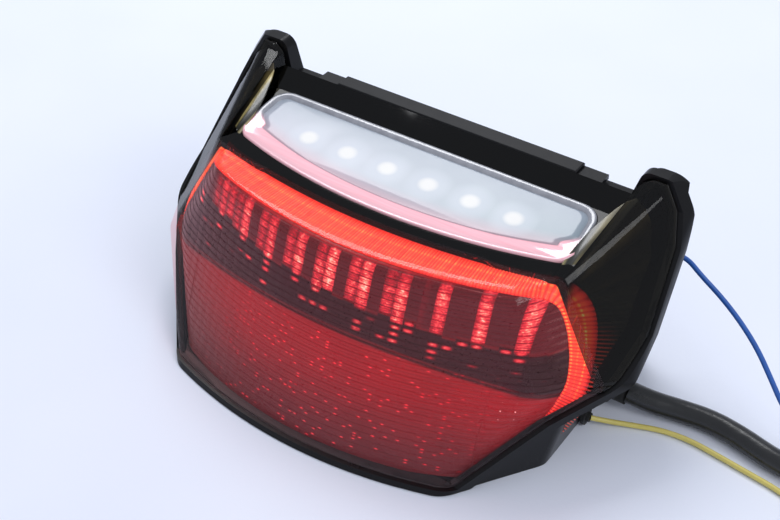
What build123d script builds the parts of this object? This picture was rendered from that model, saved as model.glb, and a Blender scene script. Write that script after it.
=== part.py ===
"""LED tail light for a sport motorcycle, standing on its top wall.

Frame: +X across the width, +Y towards the mounting side, +Z up.
The origin is at the middle of the light's footprint, on the surface that it stands on.
All sizes are in millimetres.
"""
from build123d import *
from math import cos, radians, sin, tan
import os

os.makedirs("parts", exist_ok=True)

# ---------------------------------------------------------------- driving dimensions
depth = 134.0             # front of the lens to the back wall
back = depth / 2          # the mounting pad's outer face
rear = 60.0               # the housing's back, behind the horns and round the pad
pad_half = 80.0           # the mounting pad's half width
pad_top = 75.0            # and height
front = -depth / 2        # the middle of the lens at its foot
lens_foot = 3.0           # the lens starts this far above the base
lean = 23.2               # the face leans back by this angle from upright
face_radius = 178.0       # the face's curve, seen from above
foot_half = 69.7          # half width of the lens at its foot
deck = 79.5               # height of the flat top of the lens, in front of the window
horn_top = 97.0           # height of the two rear horns
rim_half = 112.0          # half width at the rim
edge_round = 8.0          # outside radius of the lens's edges
wall = 2.5                # lens wall
shell = 3.0               # housing wall
horn_outer_round = 11.5   # the horns' rounded corners, outside
horn_inner_round = 6.0    # and inside
rim_proud = 1.2           # the housing's rim stands this far outside the lens
rim_thick = 4.5           # and is this thick along its edge

window_half = (81.5, 79.0)  # half length of the licence plate window, front and back edge
window_y = (8.0, 38.0)      # its front corners and its back edge
window_bow = 14.0           # its front edge bows forward by this much in the middle
window_z = (78.3, 83.6)     # its height in front and at its back edge
window_proud = 0.8          # it stands this far above the strip around it
strip_back = (49.0, 88.3)   # the strip behind the window rises to here
gap_floor = 82.0            # height of the housing between the horns, behind the strip

led_pitch = 12.5          # main LEDs, across
led_row_pitch = 12.0      # and up the face
led_columns = 11
led_rows = 2
led_size = 3.5
led_height = 1.4
plate_led_pitch = 20.0    # licence plate LEDs
plate_led_count = 6
plate_led_y = 18.0
tray_z = 69.0             # underside of the licence plate light's tray
board_thick = 1.6
board_gap = 1.0           # between the main reflector and its board
board_half = 71.0
board_height = 30.0

reflector_depth = 25.0    # the main reflector stands this far behind the face
reflector_half = 66.5
reflector_height = 60.0
reflector_wall = 1.6
reflector_edge = 5.0
led_row_y = 12.0          # middle of the LED rows, up the reflector
rib_half = 55.0           # the housing's two ribs

turn_size = (36.0, 16.0)  # turn signal reflectors
turn_led_pitch = 7.5
turn_led_columns = 5
turn_led_rows = 2
turn_gap = 0.8

insert_spacing = 100.0    # the two M6 mounting inserts in the back wall
insert_z = 42.0
insert_bore = 2.5         # thread wall radius of M6
insert_outer = 4.0
insert_length = 12.0

tongue_half = (59.0, 70.0)  # half length of the bar between the horns, top and foot
tongue_y = 55.4
tongue_width = 8.0
tongue_height = 3.8

sleeve_d = 9.5            # black harness sleeve
wire_d = 2.2              # blue and yellow wires
harness_exit = (27.5, 8.5)  # y, z where the sleeve leaves the side of the housing
harness_exit_x = 104.0
harness_grommet_r = 6.4
yellow_exit = (9.5, 4.0)    # y, z where the yellow wire leaves
yellow_exit_x = 96.3
blue_exit = (93.0, 49.0)    # x, z where the blue wire leaves the housing's back
blue_exit_y = rear + 1.6
wire_grommet_r = 2.4

plug_width = 16.0         # three-way connector on the harness
plug_height = 11.0
plug_length = 26.0
pin_pitch = 4.6
pin_bore = 1.5
bullet_r = 2.3            # bullet connectors on the single wires

seal_thick = 1.0          # bead of sealant between lens and housing
red_back_y = -36.2        # the red lens ends here on the base, in the middle
red_back_radius = 290.0
red_back_slope = 0.3

big = 400.0
lean_slope = tan(radians(lean))
foot_corner_y = front + foot_half**2 / (2 * face_radius)

back_wall = Plane(origin=(0, back, 0), x_dir=(-1, 0, 0), z_dir=(0, 1, 0))
rear_face = back_wall.offset(rear - back)
insert_places = [(-insert_spacing / 2, insert_z), (insert_spacing / 2, insert_z)]
board_screw_places = [(-66, 22), (66, 22), (-66, 2), (66, 2)]


def save(block, name):
    """Label a finished piece and write it as its own STEP file."""
    block.part.label = name
    export_step(block.part, f"parts/{name}.step")


def face_y(z, x=0.0):
    """Where the outside of the front face stands at height z and width x."""
    return front + (z - lens_foot) * lean_slope + x**2 / (2 * face_radius)


reflector_plane = Plane(
    origin=(0, face_y(42) + reflector_depth, 42),
    x_dir=(1, 0, 0),
    z_dir=(0, -cos(radians(lean)), sin(radians(lean))),
)
board_plane = reflector_plane.offset(-board_gap)


def turn_plane(hand):
    """The plane of a turn signal's reflector, parallel to the lens's slanted side."""
    outward = Vector(hand * 1, -0.503, 0.641).normalized()
    return Plane(origin=(hand * 85.0, 29.0, 59.0), x_dir=(hand * 0.503, 1, 0), z_dir=outward)


# ---------------------------------------------------------------- outer form
# Flat sides of the right half as a point and an outward normal; the left half mirrors them.
front_taper = ((foot_half, foot_corner_y, lens_foot), (1, -0.683, -0.125))
slanted_side = ((84.0, 1.0, deck), (1, -0.503, 0.641))
rim_side = ((rim_half, 19.0, 50.0), (1, 0, 0.105))
tub_side = ((92.0, 10.0, 0.0), (1, 0, -0.2))
rear_side = ((104.0, rear, 75.0), (1, 0.35, 0.02))
lens_sides = [front_taper, slanted_side, rim_side]
tub_sides = [front_taper, slanted_side, rim_side, tub_side, rear_side]

# The line where lens and housing meet, seen from the side, from the foot to the horns.
parting_points = [
    (foot_corner_y, lens_foot),
    (-25, 27),
    (2, 40),
    (19, 50),
    (43, 75),
    (50, 87),
    (51.5, 101),
]
shoulder_start = (1.0, deck)          # the shoulders beside the window rise from here
shoulder_end = (48.0, horn_top - 2.5)  # to here, in front of the horns


def trim(sides, inset):
    """Cut the part being built to the given flat sides, on the right and on the left."""
    for point, normal in sides:
        for hand in (1, -1):
            outward = Vector(hand * normal[0], normal[1], normal[2]).normalized()
            at = Vector(hand * point[0], point[1], point[2]) - outward * inset
            split(bisect_by=Plane(origin=at, z_dir=outward), keep=Keep.BOTTOM)


def leaning_slab(apex_y, radius, slope):
    """Everything behind a cylinder that leans back, its apex at apex_y on the base."""
    reach = 140.0
    edge_y = apex_y + reach**2 / (2 * radius)
    way = Vector(0, slope, 1)
    with BuildPart() as slab:
        with BuildSketch():
            with BuildLine():
                ThreePointArc((-reach, edge_y), (0, apex_y), (reach, edge_y))
                Polyline((reach, edge_y), (reach, 200), (-reach, 200), (-reach, edge_y))
            make_face()
        extrude(amount=way.length * 130, dir=way)
    return slab.part


def deck_pocket(inset):
    """The space above the window and the strip, between the two shoulders."""
    flank = 0.3
    low_z = window_z[0] - inset
    top_z = horn_top - inset + 0.02
    high_z = horn_top + 20
    half = window_half[0] + 1.5 + inset
    top_half = half + (top_z - low_z) * flank
    with BuildPart() as pocket:
        with BuildSketch(Plane.YZ):
            with BuildLine():
                Polyline(
                    (-8, low_z),
                    (window_y[0], low_z),
                    (window_y[1], window_z[1] - inset),
                    (strip_back[0], strip_back[1] - inset),
                    (strip_back[0] + 1, gap_floor - inset),
                    (back + 20, gap_floor - inset),
                    (back + 20, high_z),
                    (-8, high_z),
                    close=True,
                )
            make_face()
        extrude(amount=big / 2, both=True)
        with BuildSketch(Plane.XZ) as outline:
            with BuildLine():
                Polyline(
                    (-half, low_z),
                    (half, low_z),
                    (top_half, top_z),
                    (top_half + 12, top_z),
                    (top_half + 12, high_z),
                    (-top_half - 12, high_z),
                    (-top_half - 12, top_z),
                    (-top_half, top_z),
                    close=True,
                )
            make_face()
            inner_corners = [
                corner
                for corner in outline.vertices()
                if abs(corner.Y - top_z) < 0.01 and abs(abs(corner.X) - top_half) < 0.01
            ]
            fillet(inner_corners, horn_inner_round + inset)
        extrude(amount=big / 2, both=True, mode=Mode.INTERSECT)
    return pocket.part


def between_rims(inset):
    """The full depth between the rims, with the outer top corners of the horns rounded."""
    top_z = horn_top - inset + 0.02
    top_half = rim_half - (top_z - rim_side[0][2]) * rim_side[1][2] - inset + 0.05
    foot_half_width = rim_half + (20 + rim_side[0][2]) * rim_side[1][2] - inset + 0.05
    with BuildPart() as block:
        with BuildSketch(Plane.XZ) as outline:
            with BuildLine():
                Polyline(
                    (-foot_half_width, -20),
                    (foot_half_width, -20),
                    (top_half, top_z),
                    (-top_half, top_z),
                    close=True,
                )
            make_face()
            fillet(outline.vertices().group_by(Axis.Y)[-1], horn_outer_round - inset)
        extrude(amount=big / 2, both=True)
    return block.part


def is_rounded(edge):
    """The edges round the face and down the sides of the lens are rounded."""
    middle = edge.center()
    if edge.geom_type != GeomType.LINE:
        return middle.Z > 5
    return abs(middle.X) > 70 and middle.Y < 45 and middle.Z > 5


def outer_form(sides, inset=0.0, foot=0.0):
    """The closed outside of the light, with every face moved inward by the inset."""
    with BuildPart() as form:
        add(leaning_slab(front + inset - lens_foot * lean_slope, face_radius, lean_slope))
        with BuildSketch(Plane.YZ):
            with BuildLine():
                Polyline(
                    (front - 20, foot + inset),
                    (rear - inset, foot + inset),
                    (rear - inset, horn_top - inset),
                    (shoulder_end[0] + 1, horn_top - inset),
                    (shoulder_end[0], shoulder_end[1] - inset),
                    (shoulder_start[0], shoulder_start[1] - inset),
                    (front - 20, deck - inset),
                    close=True,
                )
            make_face()
        extrude(amount=big / 2, both=True, mode=Mode.INTERSECT)
        trim(sides, inset)
        fillet(form.edges().filter_by(is_rounded), edge_round - inset)
        add(between_rims(inset), mode=Mode.INTERSECT)
        add(deck_pocket(inset), mode=Mode.SUBTRACT)
    return form.part


def lens_side_space(shift=0.0):
    """The space on the lens's side of the parting line, moved back by the shift."""
    with BuildPart() as space:
        with BuildSketch(Plane.YZ):
            with BuildLine():
                path = [(y + shift, z - shift * 0.5) for y, z in parting_points]
                Polyline(
                    (front - 30, lens_foot - shift * 0.5),
                    *path,
                    (path[-1][0], 140),
                    (front - 30, 140),
                    close=True,
                )
            make_face()
        extrude(amount=big / 2, both=True)
    return space.part


def mounting_pad(inset=0.0):
    """The block that stands out of the housing's back, with rounded upper corners."""
    with BuildPart() as pad:
        with BuildSketch(Plane.XZ.offset(-(rear - 8))) as outline:
            with BuildLine():
                Polyline(
                    (-pad_half + inset, inset),
                    (pad_half - inset, inset),
                    (pad_half - inset, pad_top - inset),
                    (-pad_half + inset, pad_top - inset),
                    close=True,
                )
            make_face()
            fillet(outline.vertices().group_by(Axis.Y)[-1], 10 - inset)
        extrude(amount=-(back - inset - rear + 8))
    return pad.part


# ---------------------------------------------------------------- housing and lens shells
lens_outside = outer_form(lens_sides)
lens_inside = outer_form(lens_sides, inset=wall, foot=lens_foot - wall)
tub_inside = outer_form(tub_sides, inset=shell)
lens_space = lens_side_space()
seal_space = lens_side_space(shift=seal_thick)
rim_space = lens_side_space(shift=seal_thick + rim_thick)

with BuildPart() as housing:
    add(outer_form(lens_sides, inset=-rim_proud, foot=rim_proud))
    add(rim_space, mode=Mode.INTERSECT)
    add(outer_form(tub_sides))
    add(mounting_pad())
    add(seal_space, mode=Mode.SUBTRACT)
    add(tub_inside, mode=Mode.SUBTRACT)
    add(mounting_pad(inset=shell), mode=Mode.SUBTRACT)
    # ribs that carry the main reflector
    for rib_x in (-rib_half, rib_half):
        with BuildSketch(Plane.YZ.offset(rib_x)):
            with BuildLine():
                Polyline((-34, 2), (40, 2), (40, 12), (-9, 60), (-14, 60), close=True)
            make_face()
        extrude(amount=1.5, both=True)
    # bosses and bores for the mounting inserts in the back wall
    with BuildSketch(back_wall):
        with Locations(*insert_places):
            Circle(insert_outer + 3)
    extrude(amount=-(insert_length + 3))
    with BuildSketch(back_wall):
        with Locations(*insert_places):
            Circle(insert_outer)
    extrude(amount=-insert_length, mode=Mode.SUBTRACT)
    # holes for the wires
    with BuildSketch(Plane.YZ.offset(75)):
        with Locations(harness_exit):
            Circle(harness_grommet_r)
        with Locations(yellow_exit):
            Circle(wire_grommet_r)
    extrude(amount=30, mode=Mode.SUBTRACT)
    with BuildSketch(rear_face):
        with Locations((-blue_exit[0], blue_exit[1])):
            Circle(wire_grommet_r)
    extrude(amount=-10, mode=Mode.SUBTRACT)
save(housing, "housing")

with BuildPart() as lens_sealant:
    add(outer_form(lens_sides, inset=0.8, foot=lens_foot - 2))
    add(seal_space, mode=Mode.INTERSECT)
    add(lens_space, mode=Mode.SUBTRACT)
    add(lens_inside, mode=Mode.SUBTRACT)
save(lens_sealant, "lens_sealant")

with BuildPart() as lens_shell:
    add(lens_outside)
    add(lens_space, mode=Mode.INTERSECT)
    add(lens_inside, mode=Mode.SUBTRACT)


def window_prism(gap=0.0):
    """An upright prism with the window's outline, moved inward by the gap."""
    front_y, back_y = window_y
    near_half, far_half = window_half
    with BuildPart() as prism:
        with BuildSketch(Plane.XY.offset(55)) as outline:
            with BuildLine():
                ThreePointArc((-near_half, front_y), (0, front_y - window_bow), (near_half, front_y))
                Polyline(
                    (near_half, front_y),
                    (far_half, back_y),
                    (-far_half, back_y),
                    (-near_half, front_y),
                )
            make_face()
            fillet(outline.vertices(), 8)
            if gap:
                offset(amount=-gap)
        extrude(amount=40)
    return prism.part


red_zone_back = leaning_slab(red_back_y, red_back_radius, red_back_slope)
window_cut = window_prism()

with BuildPart() as red_lens:
    add(lens_shell.part)
    add(red_zone_back, mode=Mode.SUBTRACT)
save(red_lens, "red_lens")

with BuildPart() as smoke_lens:
    add(lens_shell.part)
    add(red_zone_back, mode=Mode.INTERSECT)
    add(window_cut, mode=Mode.SUBTRACT)
save(smoke_lens, "smoke_lens")

with BuildPart() as plate_window:
    add(outer_form(lens_sides, inset=-window_proud))
    add(lens_inside, mode=Mode.SUBTRACT)
    add(window_cut, mode=Mode.INTERSECT)
save(plate_window, "plate_window")

with BuildPart() as tongue_bar:
    with BuildSketch(Plane.XY.offset(gap_floor + rim_proud)):
        with Locations((0, tongue_y)):
            Rectangle(2 * tongue_half[1], tongue_width)
    extrude(amount=tongue_height * 0.55)
    with BuildSketch(Plane.XY.offset(gap_floor + rim_proud + tongue_height * 0.55)):
        with Locations((0, tongue_y)):
            Rectangle(2 * tongue_half[0], tongue_width)
    extrude(amount=tongue_height * 0.45)
    chamfer(tongue_bar.edges().group_by(Axis.Z)[-1], 0.5)
save(tongue_bar, "tongue_bar")

# ---------------------------------------------------------------- brake and tail light inside
with BuildPart() as main_reflector:
    with BuildSketch(reflector_plane):
        RectangleRounded(2 * reflector_half, reflector_height, 6)
    extrude(amount=reflector_wall)
    with BuildSketch(reflector_plane.offset(reflector_wall)):
        RectangleRounded(2 * reflector_half, reflector_height, 6)
        offset(amount=-reflector_wall, mode=Mode.SUBTRACT)
    extrude(amount=reflector_edge)
    with BuildSketch(reflector_plane):
        with Locations((0, led_row_y)):
            with GridLocations(led_pitch, led_row_pitch, led_columns, led_rows):
                Rectangle(led_size + 3, led_size + 4)
    extrude(amount=reflector_wall, mode=Mode.SUBTRACT)
save(main_reflector, "main_reflector")

with BuildPart() as main_led_board:
    with BuildSketch(board_plane):
        with Locations((0, led_row_y)):
            Rectangle(2 * board_half, board_height)
        with Locations(*board_screw_places):
            Circle(1.6, mode=Mode.SUBTRACT)
    extrude(amount=-board_thick)
save(main_led_board, "main_led_board")

with BuildPart() as red_leds:
    with BuildSketch(board_plane):
        with Locations((0, led_row_y)):
            with GridLocations(led_pitch, led_row_pitch, led_columns, led_rows):
                Rectangle(led_size, led_size)
    extrude(amount=led_height)
save(red_leds, "red_leds")

with BuildPart() as board_screws:
    with BuildSketch(board_plane.offset(-board_thick)):
        with Locations(*board_screw_places):
            Circle(2.8)
    extrude(amount=-1.8)
    with BuildSketch(board_plane.offset(-board_thick)):
        with Locations(*board_screw_places):
            Circle(1.5)
    extrude(amount=board_thick + board_gap)
save(board_screws, "board_screws")

with BuildPart() as resistors:
    with BuildSketch(board_plane.offset(-board_thick)):
        with Locations((0, led_row_y)):
            with GridLocations(led_pitch, 9, led_columns - 1, 2):
                Rectangle(3.2, 1.6)
    extrude(amount=-0.6)
save(resistors, "resistors")

with BuildPart() as driver_chips:
    with BuildSketch(board_plane.offset(-board_thick)):
        with Locations((-22, led_row_y), (22, led_row_y)):
            Rectangle(6, 5)
    extrude(amount=-1.7)
save(driver_chips, "driver_chips")

# ---------------------------------------------------------------- turn signals inside
for hand, side in ((1, "right"), (-1, "left")):
    plane = turn_plane(hand)
    with BuildPart() as turn_reflector:
        with BuildSketch(plane):
            RectangleRounded(*turn_size, 5)
            with GridLocations(turn_led_pitch, turn_led_pitch, turn_led_columns, turn_led_rows):
                Circle(2.6, mode=Mode.SUBTRACT)
        extrude(amount=1.5)
        with BuildSketch(plane.offset(1.5)):
            RectangleRounded(*turn_size, 5)
            offset(amount=-1.5, mode=Mode.SUBTRACT)
        extrude(amount=3)
    save(turn_reflector, f"turn_reflector_{side}")
    with BuildPart() as turn_board:
        with BuildSketch(plane.offset(-turn_gap)):
            Rectangle(turn_size[0] - 4, turn_size[1] - 4)
        extrude(amount=-board_thick)
    save(turn_board, f"turn_board_{side}")
    with BuildPart() as amber_leds:
        with BuildSketch(plane.offset(-turn_gap)):
            with GridLocations(turn_led_pitch, turn_led_pitch, turn_led_columns, turn_led_rows):
                Rectangle(led_size, led_size)
        extrude(amount=led_height)
    save(amber_leds, f"amber_leds_{side}")

# ---------------------------------------------------------------- licence plate light inside
tray_outside = window_prism(gap=1.0)
tray_inside = window_prism(gap=2.4)
below_window = outer_form(lens_sides, inset=wall + 0.1)
with BuildPart() as plate_tray:
    add(tray_outside)
    add(below_window, mode=Mode.INTERSECT)
    split(bisect_by=Plane.XY.offset(tray_z), keep=Keep.TOP)
    with BuildPart(mode=Mode.SUBTRACT):
        add(tray_inside)
        split(bisect_by=Plane.XY.offset(tray_z + 1.4), keep=Keep.TOP)
save(plate_tray, "plate_tray")

with BuildPart() as plate_diffuser:
    add(window_prism(gap=2.6))
    add(below_window, mode=Mode.INTERSECT)
    add(outer_form(lens_sides, inset=wall + 1.3), mode=Mode.SUBTRACT)
save(plate_diffuser, "plate_diffuser")

with BuildPart() as plate_led_board:
    with BuildSketch(Plane.XY.offset(tray_z + 1.4)):
        with Locations((0, plate_led_y)):
            Rectangle(7 * plate_led_pitch, 12)
    extrude(amount=board_thick)
save(plate_led_board, "plate_led_board")

with BuildPart() as plate_leds:
    with BuildSketch(Plane.XY.offset(tray_z + 1.4 + board_thick)):
        with Locations((0, plate_led_y)):
            with GridLocations(plate_led_pitch, 1, plate_led_count, 1):
                Rectangle(led_size, led_size)
    extrude(amount=led_height)
save(plate_leds, "plate_leds")

# ---------------------------------------------------------------- mounting inserts and grommets
with BuildPart() as mounting_inserts:
    with BuildSketch(back_wall):
        with Locations(*insert_places):
            Circle(insert_outer)
            Circle(insert_bore, mode=Mode.SUBTRACT)
    extrude(amount=-insert_length)
save(mounting_inserts, "mounting_inserts")


def grommet(plane, spot, radius, bore, inner, flange_at, nose):
    """A rubber grommet along the plane's normal, from inner to the end of its nose."""
    with BuildPart() as rubber:
        with BuildSketch(plane.offset(inner)):
            with Locations(spot):
                Circle(radius)
        extrude(amount=flange_at + 1.6 - inner)
        with BuildSketch(plane.offset(flange_at)):
            with Locations(spot):
                Circle(radius + 1.4)
        extrude(amount=1.6)
        if nose > flange_at + 1.6:
            with BuildSketch(plane.offset(flange_at + 1.6)):
                with Locations(spot):
                    Circle(bore + 0.9)
            extrude(amount=nose - flange_at - 1.6)
    return rubber


harness_grommet = grommet(
    Plane.YZ, harness_exit, harness_grommet_r, sleeve_d / 2, 84, 95.2, harness_exit_x
)
save(harness_grommet, "harness_grommet")
yellow_grommet = grommet(Plane.YZ, yellow_exit, wire_grommet_r, wire_d / 2, 86, 93.3, yellow_exit_x)
save(yellow_grommet, "yellow_grommet")
blue_spot = (-blue_exit[0], blue_exit[1])
blue_grommet = grommet(rear_face, blue_spot, wire_grommet_r, wire_d / 2, -5, 0, 1.6)
save(blue_grommet, "blue_grommet")

# ---------------------------------------------------------------- wires
# Routes by their corners, from the grommet to the connector at the far end.
sleeve_route = [
    (harness_exit_x, *harness_exit),
    (112, 28.6, 6.9),
    (124, 32.4, 5.2),
    (138, 34.6, 4.9),
    (152, 32.6, 4.9),
    (166, 28.8, 4.9),
    (181, 27.5, 4.9),
    (195, 22, 4.9),
    (205, 11, 4.9),
    (209.5, -4, 4.9),
    (210.3, -20, 4.9),
    (210, -34, 4.9),
]
yellow_route = [
    (yellow_exit_x, *yellow_exit),
    (102, 13, 2.4),
    (111, 17.6, 1.4),
    (122, 21.9, 1.3),
    (134, 23.3, 1.3),
    (147, 21.8, 1.3),
    (161, 19.9, 1.3),
    (174, 18.2, 1.3),
    (184, 14.6, 1.3),
    (191, 7.5, 1.3),
    (194, -3, 1.3),
    (194.6, -16, 1.8),
    (194.4, -28, 2.4),
]
blue_route = [
    (blue_exit[0], blue_exit_y, blue_exit[1]),
    (93.6, 67.6, 48.8),
    (96.4, 73, 47.8),
    (102.5, 75.5, 46),
    (110.5, 72, 43.2),
    (122, 66.5, 41.2),
    (133.5, 60.5, 38),
    (144.5, 54, 33.5),
    (154, 46.6, 28.5),
    (163.5, 39.5, 22.5),
    (178, 34, 13.5),
    (193, 29.4, 5.5),
    (206, 21.5, 1.6),
    (215.5, 9, 1.3),
    (219, -6, 2.4),
]


def cord(route, diameter, name):
    """A round cord along straight runs joined by tangent arcs as large as the runs allow."""
    corners = [Vector(*point) for point in route]
    radii = []
    for before, corner, after in zip(corners, corners[1:], corners[2:]):
        turn = (corner - before).get_angle(after - corner)
        shorter = min((corner - before).length, (after - corner).length)
        radii.append(0.45 * shorter / tan(radians(turn) / 2))
    with BuildPart() as tube:
        with BuildLine() as path:
            FilletPolyline(*corners, radius=radii)
        with BuildSketch(Plane(origin=path.line @ 0, z_dir=path.line % 0)):
            Circle(diameter / 2)
        sweep()
    print(name, "length", round(path.wires()[0].length, 1), "radii", [round(r, 1) for r in radii])
    save(tube, name)


cord(sleeve_route, sleeve_d, "harness_sleeve")
cord(yellow_route, wire_d, "yellow_wire")
cord(blue_route, wire_d, "blue_wire")

plug_end = Plane(origin=sleeve_route[-1], x_dir=(1, 0, 0), z_dir=(0, -1, 0))
plug_lift = plug_height / 2 - sleeve_route[-1][2]
with BuildPart() as harness_connector:
    with BuildSketch(plug_end):
        with Locations((0, plug_lift)):
            RectangleRounded(plug_width, plug_height, 2)
    extrude(amount=plug_length)
    with BuildSketch(plug_end.offset(plug_length)):
        with Locations((0, plug_lift)):
            with GridLocations(pin_pitch, 1, 3, 1):
                Circle(pin_bore)
    extrude(amount=-12, mode=Mode.SUBTRACT)
    with BuildSketch(plug_end.offset(8)):
        with Locations((0, plug_lift + plug_height / 2)):
            Rectangle(6, 2.4)
    extrude(amount=14)
save(harness_connector, "harness_connector")

with BuildPart() as connector_terminals:
    with BuildSketch(plug_end.offset(plug_length - 12)):
        with Locations((0, plug_lift)):
            with GridLocations(pin_pitch, 1, 3, 1):
                Circle(pin_bore)
                Circle(pin_bore - 0.4, mode=Mode.SUBTRACT)
    extrude(amount=10)
save(connector_terminals, "connector_terminals")

for route, name in ((yellow_route, "yellow_bullet"), (blue_route, "blue_bullet")):
    end = Plane(origin=route[-1], z_dir=(0, -1, 0))
    with BuildPart() as bullet:
        with BuildSketch(end):
            Circle(bullet_r)
        extrude(amount=16)
        with BuildSketch(end.offset(16)):
            Circle(bullet_r - 0.6)
        extrude(amount=-9, mode=Mode.SUBTRACT)
    save(bullet, name)
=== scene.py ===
"""Looks of the motorcycle tail light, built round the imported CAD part.

Geometry is worked out in millimetres in the CAD's own frame and written to the meshes in metres.
"""
import math

import bpy
import numpy as np
from mathutils import Matrix, Vector


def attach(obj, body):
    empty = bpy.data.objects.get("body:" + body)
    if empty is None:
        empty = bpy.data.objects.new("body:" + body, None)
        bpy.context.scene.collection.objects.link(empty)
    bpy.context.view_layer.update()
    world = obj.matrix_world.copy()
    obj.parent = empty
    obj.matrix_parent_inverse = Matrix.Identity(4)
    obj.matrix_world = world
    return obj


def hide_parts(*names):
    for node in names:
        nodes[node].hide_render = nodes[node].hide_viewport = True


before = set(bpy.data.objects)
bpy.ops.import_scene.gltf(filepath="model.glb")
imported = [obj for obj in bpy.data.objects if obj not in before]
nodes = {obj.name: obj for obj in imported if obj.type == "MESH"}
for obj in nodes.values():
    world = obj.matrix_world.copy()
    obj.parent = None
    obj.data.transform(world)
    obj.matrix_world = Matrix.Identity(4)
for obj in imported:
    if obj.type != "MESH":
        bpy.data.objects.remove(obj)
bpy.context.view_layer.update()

MM = 0.001
scene = bpy.context.scene

# ---------------------------------------------------------------- sizes, in millimetres
LEAN_SLOPE = math.tan(math.radians(23.2))   # the face leans back
FACE_FRONT = -67.0                          # its middle, at its foot
FACE_FOOT = 3.0
FACE_RADIUS = 178.0
DECK = 79.5                                 # flat top of the lens
SHOULDER_SLOPE = 0.319                      # rise of the shoulders behind y = 1
EDGE_ROUND = 8.0
FLAT_SIDES = [                              # a point and a normal for each flat side
    ((69.7, -53.35, 3.0), (1, -0.683, -0.125)),
    ((84.0, 1.0, 79.5), (1, -0.503, 0.641)),
    ((112.0, 19.0, 50.0), (1, 0, 0.105)),
]
PARTING = [(-53.35, 3), (-25, 27), (2, 40), (19, 50), (43, 75), (50, 87), (51.5, 101)]
OPTIC_DEPTH = 2.9                           # the optics lie this far under the lens's surface
FLUTE_PITCH = 1.3
PANEL_REACH = 75.0                          # the side panels' flutes reach at most this far
PANEL_STEPS = 70
CELL = 5.23                                 # width of an optic cell on the face
ROW = 2.6                                   # and its height
WINDOW_LED_PITCH = 20.0


# ---------------------------------------------------------------- meshes
def mesh_object(name, points, faces, smooth=True, attributes=None):
    """A mesh piece from points in millimetres, riding on the one body."""
    mesh = bpy.data.meshes.new(name)
    mesh.from_pydata((np.asarray(points, float) * MM).tolist(), [], [list(f) for f in faces])
    mesh.validate()
    for key, values in (attributes or {}).items():
        layer = mesh.attributes.new(key, "FLOAT", "POINT")
        layer.data.foreach_set("value", np.asarray(values, np.float32).ravel())
    mesh.polygons.foreach_set("use_smooth", [smooth] * len(mesh.polygons))
    piece = bpy.data.objects.new(name, mesh)
    scene.collection.objects.link(piece)
    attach(piece, "root")
    return piece


def grid_faces(rows, columns, start=0, close=False):
    """Quads over a grid of points kept row by row."""
    faces = []
    last = columns if close else columns - 1
    for i in range(rows - 1):
        for j in range(last):
            k = (j + 1) % columns
            a = start + i * columns
            faces.append((a + j, a + k, a + columns + k, a + columns + j))
    return faces


def sheet_solid(name, top, thickness_along, attributes, smooth=True):
    """A closed thin solid: a grid of points, its copy further in, and the rims between."""
    rows, columns = top.shape[:2]
    under = top - thickness_along
    points = np.concatenate([top.reshape(-1, 3), under.reshape(-1, 3)])
    count = rows * columns
    faces = grid_faces(rows, columns)
    faces += [tuple(reversed([count + v for v in f])) for f in grid_faces(rows, columns)]
    border = list(range(columns))
    border += [i * columns + columns - 1 for i in range(1, rows)]
    border += [(rows - 1) * columns + j for j in range(columns - 2, -1, -1)]
    border += [i * columns for i in range(rows - 2, 0, -1)]
    for a, b in zip(border, border[1:] + border[:1]):
        faces.append((b, a, count + a, count + b))
    doubled = {k: np.concatenate([np.ravel(v), np.ravel(v)]) for k, v in attributes.items()}
    return mesh_object(name, points, faces, smooth, doubled)


# ---------------------------------------------------------------- the lens's outer form
VIEW_OUT = np.array([0, -0.7507, 0.6606])   # optics are laid out on a plane across this direction
VIEW_UP = np.array([0, 0.6606, 0.7507])


def side_distances(p):
    """Distances outside each face of the lens, for points in rows of x, y, z."""
    x, y, z = np.abs(p[..., 0]), p[..., 1], p[..., 2]
    face_y = FACE_FRONT + (z - FACE_FOOT) * LEAN_SLOPE + x**2 / (2 * FACE_RADIUS)
    steep = np.sqrt(1 + LEAN_SLOPE**2 + (x / FACE_RADIUS) ** 2)
    found = [(face_y - y) / steep, z - DECK - np.maximum(0, y - 1) * SHOULDER_SLOPE]
    for point, normal in FLAT_SIDES:
        n = np.array(normal, float)
        n /= np.linalg.norm(n)
        found.append((x - point[0]) * n[0] + (y - point[1]) * n[1] + (z - point[2]) * n[2])
    return np.stack(found)


def form(p):
    """Signed distance from the lens's rounded outside, negative inside."""
    d = side_distances(p)
    near = np.maximum(d + EDGE_ROUND, 0)
    soft = (near**2.6).sum(0) ** (1 / 2.6) - EDGE_ROUND
    return np.where(near.max(0) > 0, soft, d.max(0))


def form_normal(p):
    step = 0.05
    g = np.stack(
        [form(p + step * np.eye(3)[i]) - form(p - step * np.eye(3)[i]) for i in range(3)], -1
    )
    return g / np.linalg.norm(g, axis=-1, keepdims=True)


def on_form(x, w, depth):
    """The point of the lens at place x, w of the layout plane, that deep under its surface."""
    p = x[..., None] * np.array([1.0, 0, 0]) + w[..., None] * VIEW_UP + 160 * VIEW_OUT
    for _ in range(90):
        p = p - (form(p) + depth)[..., None] * 0.8 * VIEW_OUT
    return p


def smooth_line(points, rounds=4):
    """Corner cutting: a smooth line near an open polyline."""
    line = np.array(points, float)
    for _ in range(rounds):
        a, b = line[:-1], line[1:]
        cut = np.stack([a * 0.75 + b * 0.25, a * 0.25 + b * 0.75], 1).reshape(-1, 2)
        line = np.concatenate([line[:1], cut, line[-1:]])
    return line


def even_line(line, spacing):
    """The same line with evenly spaced points."""
    run = np.concatenate([[0], np.cumsum(np.linalg.norm(np.diff(line, axis=0), axis=1))])
    s = np.arange(0, run[-1], spacing)
    return np.stack([np.interp(s, run, line[:, i]) for i in range(2)], 1), s


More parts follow.
